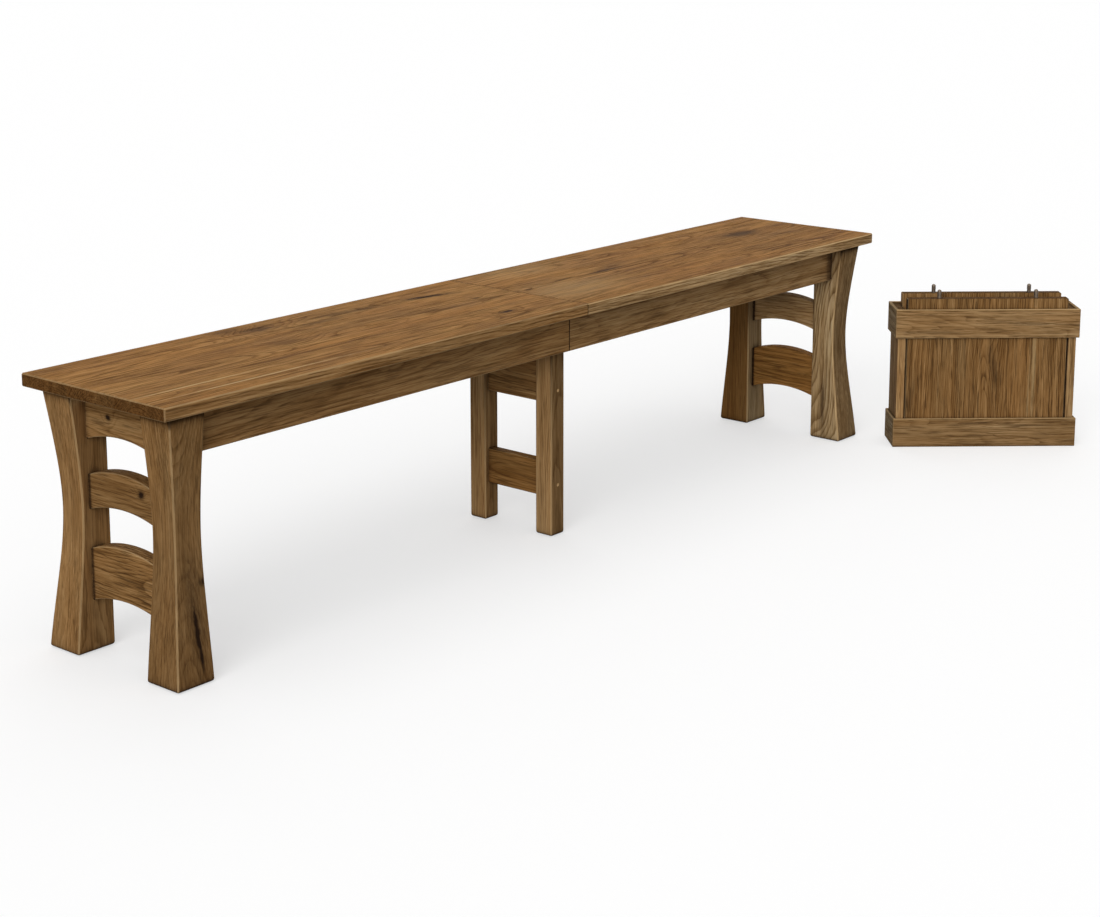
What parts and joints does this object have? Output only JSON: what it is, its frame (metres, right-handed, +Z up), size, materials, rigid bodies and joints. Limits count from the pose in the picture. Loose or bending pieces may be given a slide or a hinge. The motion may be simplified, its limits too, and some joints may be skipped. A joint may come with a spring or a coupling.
{
  "type": "extension bench",
  "caption": "Long wooden bench with curved legs whose two halves slide apart over a centre support, and a small crate that keeps the extra leaves.",
  "frame": {"origin": "middle of the floor under the whole set, bench and crate", "axes": "+X along the bench towards the crate, -Y the front, +Z up"},
  "size_m": [2.2668, 0.7436, 0.457],
  "materials": {
    "bench_wood": "satin brown stain, open grain",
    "leaf_wood": "satin brown stain, open grain",
    "crate_wood": "satin brown stain, open grain",
    "slide_wood": "clear satin hardwood",
    "dowel_wood": "plain end grain",
    "gear": "satin",
    "steel": "satin"
  },
  "bodies": {
    "centre_support": {"centre_dowels": "dowel_wood", "centre_leg_front": "bench_wood", "centre_leg_rear": "bench_wood", "centre_lower_rail": "bench_wood", "centre_upper_rail": "bench_wood", "cross_head": "slide_wood", "pinion_axles": "steel", "slide_carrier_front": "slide_wood", "slide_carrier_rear": "slide_wood"},
    "left_half": {"left_apron_front": "bench_wood", "left_apron_rear": "bench_wood", "left_corner_blocks": "slide_wood", "left_cross_cleat": "slide_wood", "left_end_lower_rail": "bench_wood", "left_end_middle_rail": "bench_wood", "left_end_top_rail": "bench_wood", "left_leg_front": "bench_wood", "left_leg_rear": "bench_wood", "left_racks": "gear", "left_runner_front": "slide_wood", "left_runner_rear": "slide_wood", "left_stop_blocks": "slide_wood", "left_top": "bench_wood", "left_top_buttons": "slide_wood"},
    "right_half": {"right_apron_front": "bench_wood", "right_apron_rear": "bench_wood", "right_corner_blocks": "slide_wood", "right_cross_cleat": "slide_wood", "right_end_lower_rail": "bench_wood", "right_end_middle_rail": "bench_wood", "right_end_top_rail": "bench_wood", "right_leg_front": "bench_wood", "right_leg_rear": "bench_wood", "right_racks": "gear", "right_runner_front": "slide_wood", "right_runner_rear": "slide_wood", "right_seam_pins": "steel", "right_stop_blocks": "slide_wood", "right_top": "bench_wood", "right_top_buttons": "slide_wood"},
    "pinion_front": {"pinion_front": "gear"},
    "pinion_rear": {"pinion_rear": "gear"},
    "leaf_crate": {"crate_floor": "crate_wood", "crate_front_bottom_band": "crate_wood", "crate_front_top_band": "crate_wood", "crate_left_bands": "crate_wood", "crate_rear_bands": "crate_wood", "crate_right_bands": "crate_wood", "crate_side_left": "crate_wood", "crate_side_right": "crate_wood", "crate_spacers": "crate_wood"},
    "leaf_front": {"leaf_front": "leaf_wood", "leaf_front_pins": "steel"},
    "leaf_rear": {"leaf_rear": "leaf_wood", "leaf_rear_pins": "steel"}
  },
  "joints": [
    {"name": "left_half_slide", "type": "slide", "parent": "centre_support", "child": "left_half", "axis": [-1, 0, 0], "range_m": [0, 0.3052]},
    {"name": "right_half_slide", "type": "slide", "parent": "centre_support", "child": "right_half", "axis": [1, 0, 0], "range_m": [0, 0.3052]},
    {"name": "front_pinion_turn", "type": "hinge", "parent": "centre_support", "child": "pinion_front", "pos_m": [-0.14328, 0.13772, 0.4195], "axis": [0, 0, -1], "range_deg": [0, 971.5]},
    {"name": "rear_pinion_turn", "type": "hinge", "parent": "centre_support", "child": "pinion_rear", "pos_m": [-0.14328, 0.25772, 0.4195], "axis": [0, 0, 1], "range_deg": [0, 971.5]},
    {"name": "crate_lift", "type": "slide", "parent": "centre_support", "child": "leaf_crate", "axis": [0, 0, 1], "range_m": [0, 0.3]},
    {"name": "front_leaf_lift", "type": "slide", "parent": "leaf_crate", "child": "leaf_front", "axis": [0, 0, 1], "range_m": [0, 0.3]},
    {"name": "rear_leaf_lift", "type": "slide", "parent": "leaf_crate", "child": "leaf_rear", "axis": [0, 0, 1], "range_m": [0, 0.3]}
  ],
  "couplings": [
    {"joint": "right_half_slide", "follows": "left_half_slide", "ratio": 1},
    {"joint": "front_pinion_turn", "follows": "left_half_slide", "rad_per_m": 55.556},
    {"joint": "rear_pinion_turn", "follows": "left_half_slide", "rad_per_m": 55.556}
  ]
}
